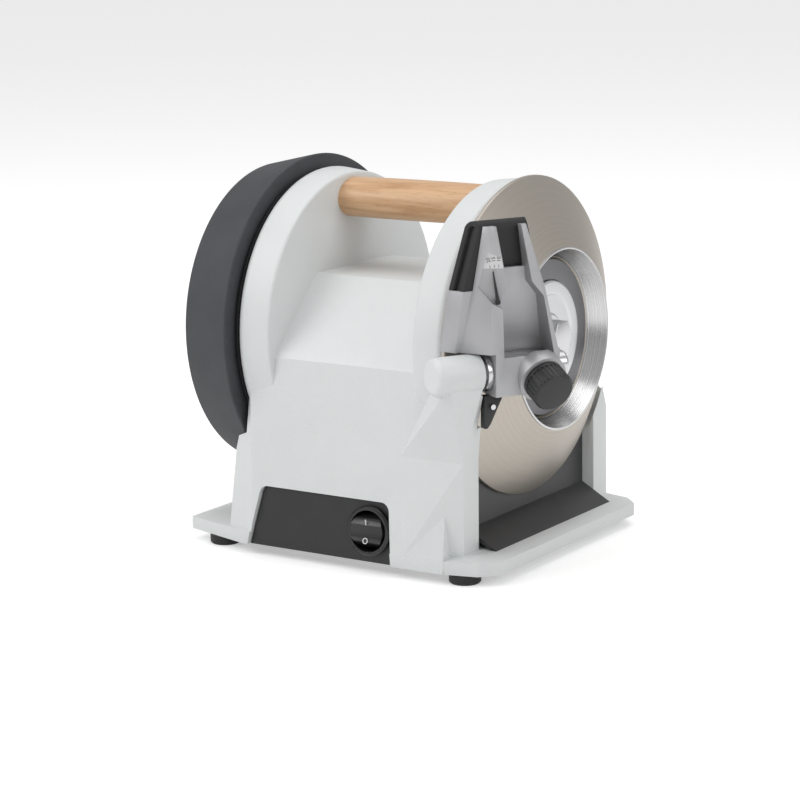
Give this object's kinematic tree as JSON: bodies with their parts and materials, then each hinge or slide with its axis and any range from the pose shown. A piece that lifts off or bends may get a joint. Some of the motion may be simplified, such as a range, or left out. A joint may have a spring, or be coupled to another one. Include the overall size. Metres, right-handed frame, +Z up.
{
  "type": "electric knife sharpener",
  "caption": "Bench knife sharpener with a conical grinding wheel, a honing wheel on the other side, a tilting knife guide on a round bar, a carrying handle and a rocker switch.",
  "frame": {"origin": "on the table under the middle of the part's box", "axes": "+X from the honing wheel to the grinding wheel, along the spindle; -Y is the side with the switch; +Z up"},
  "size_m": [0.2118, 0.1796, 0.1827],
  "materials": {
    "cast_body": "fine textured powder coat",
    "dark_plastic": "satin",
    "switch_black": "semi-gloss",
    "beech": "oiled",
    "steel": "ground",
    "grinding_face": "diamond coated, satin",
    "hub_dark": "satin",
    "hub_light": "satin",
    "hone_grey": "composite, matte",
    "guide_grey": "cast, satin",
    "guide_rubber": "matte",
    "foot_rubber": "matte",
    "zinc_steel": "zinc plated",
    "motor_steel": "satin",
    "board_green": "satin",
    "scale_silver": "satin"
  },
  "bodies": {
    "machine": {"housing": "cast_body", "base_plate": "zinc_steel", "base_screws": "zinc_steel", "rubber_feet": "foot_rubber", "front_panel": "dark_plastic", "right_tray": "dark_plastic", "switch_bezel": "switch_black", "carry_handle": "beech", "handle_screws": "zinc_steel", "support_bar": "steel", "bar_cap": "cast_body", "bearing_right": "steel", "bearing_left": "steel", "dust_ring": "dark_plastic", "gear_motor": "motor_steel", "motor_bracket": "zinc_steel", "control_board": "board_green", "cord_gland": "dark_plastic", "drive_belt": "guide_rubber"},
    "spindle": {"spindle_shaft": "steel", "diamond_wheel": "grinding_face", "wheel_flange": "hub_dark", "hub_disc": "hub_light", "wheel_nut": "hub_light", "honing_wheel": "hone_grey", "honing_flange": "hub_light", "honing_nut": "zinc_steel", "spindle_pulley": "hub_light"},
    "motor_rotor": {"motor_shaft": "steel", "motor_pulley": "hub_light"},
    "rocker": {"switch_rocker": "switch_black"},
    "guide_slider": {"guide_sleeve": "steel"},
    "guide": {"guide_body": "guide_grey", "guide_belt": "guide_rubber", "belt_core": "dark_plastic", "scale_plate": "scale_silver", "stop_clip": "dark_plastic", "clip_pin": "steel"},
    "pointer": {"angle_pointer": "dark_plastic"},
    "knob": {"lock_knob": "dark_plastic", "knob_stud": "zinc_steel"}
  },
  "joints": [
    {"name": "spindle_turn", "type": "hinge", "parent": "machine", "child": "spindle", "pos_m": [0.05188, 0.0074, 0.103], "axis": [1, 0, 0], "continuous": true},
    {"name": "motor_turn", "type": "hinge", "parent": "machine", "child": "motor_rotor", "pos_m": [0.05188, 0.0074, 0.048], "axis": [1, 0, 0], "continuous": true},
    {"name": "switch_rock", "type": "hinge", "parent": "machine", "child": "rocker", "pos_m": [0.00868, -0.06105, 0.01923], "axis": [1, 0, 0], "range_deg": [-7, 7]},
    {"name": "guide_slide", "type": "slide", "parent": "machine", "child": "guide_slider", "axis": [0.4848, 0.8746, 0], "range_m": [0, 0.006]},
    {"name": "guide_tilt", "type": "hinge", "parent": "guide_slider", "child": "guide", "pos_m": [0.07755, -0.04913, 0.0995], "axis": [0.4848, 0.8746, 0], "range_deg": [-3, 8]},
    {"name": "pointer_swing", "type": "hinge", "parent": "guide", "child": "pointer", "pos_m": [0.07916, -0.0665, 0.1317], "axis": [0.4848, -0.8746, 0], "range_deg": [-7, 17]},
    {"name": "knob_turn", "type": "hinge", "parent": "guide", "child": "knob", "pos_m": [0.09212, -0.04966, 0.096], "axis": [0.7927, -0.4394, -0.4226], "range_deg": [-180, 180]}
  ],
  "couplings": [
    {"joint": "motor_turn", "follows": "spindle_turn", "ratio": 2.5},
    {"joint": "pointer_swing", "follows": "guide_tilt", "ratio": 2}
  ]
}
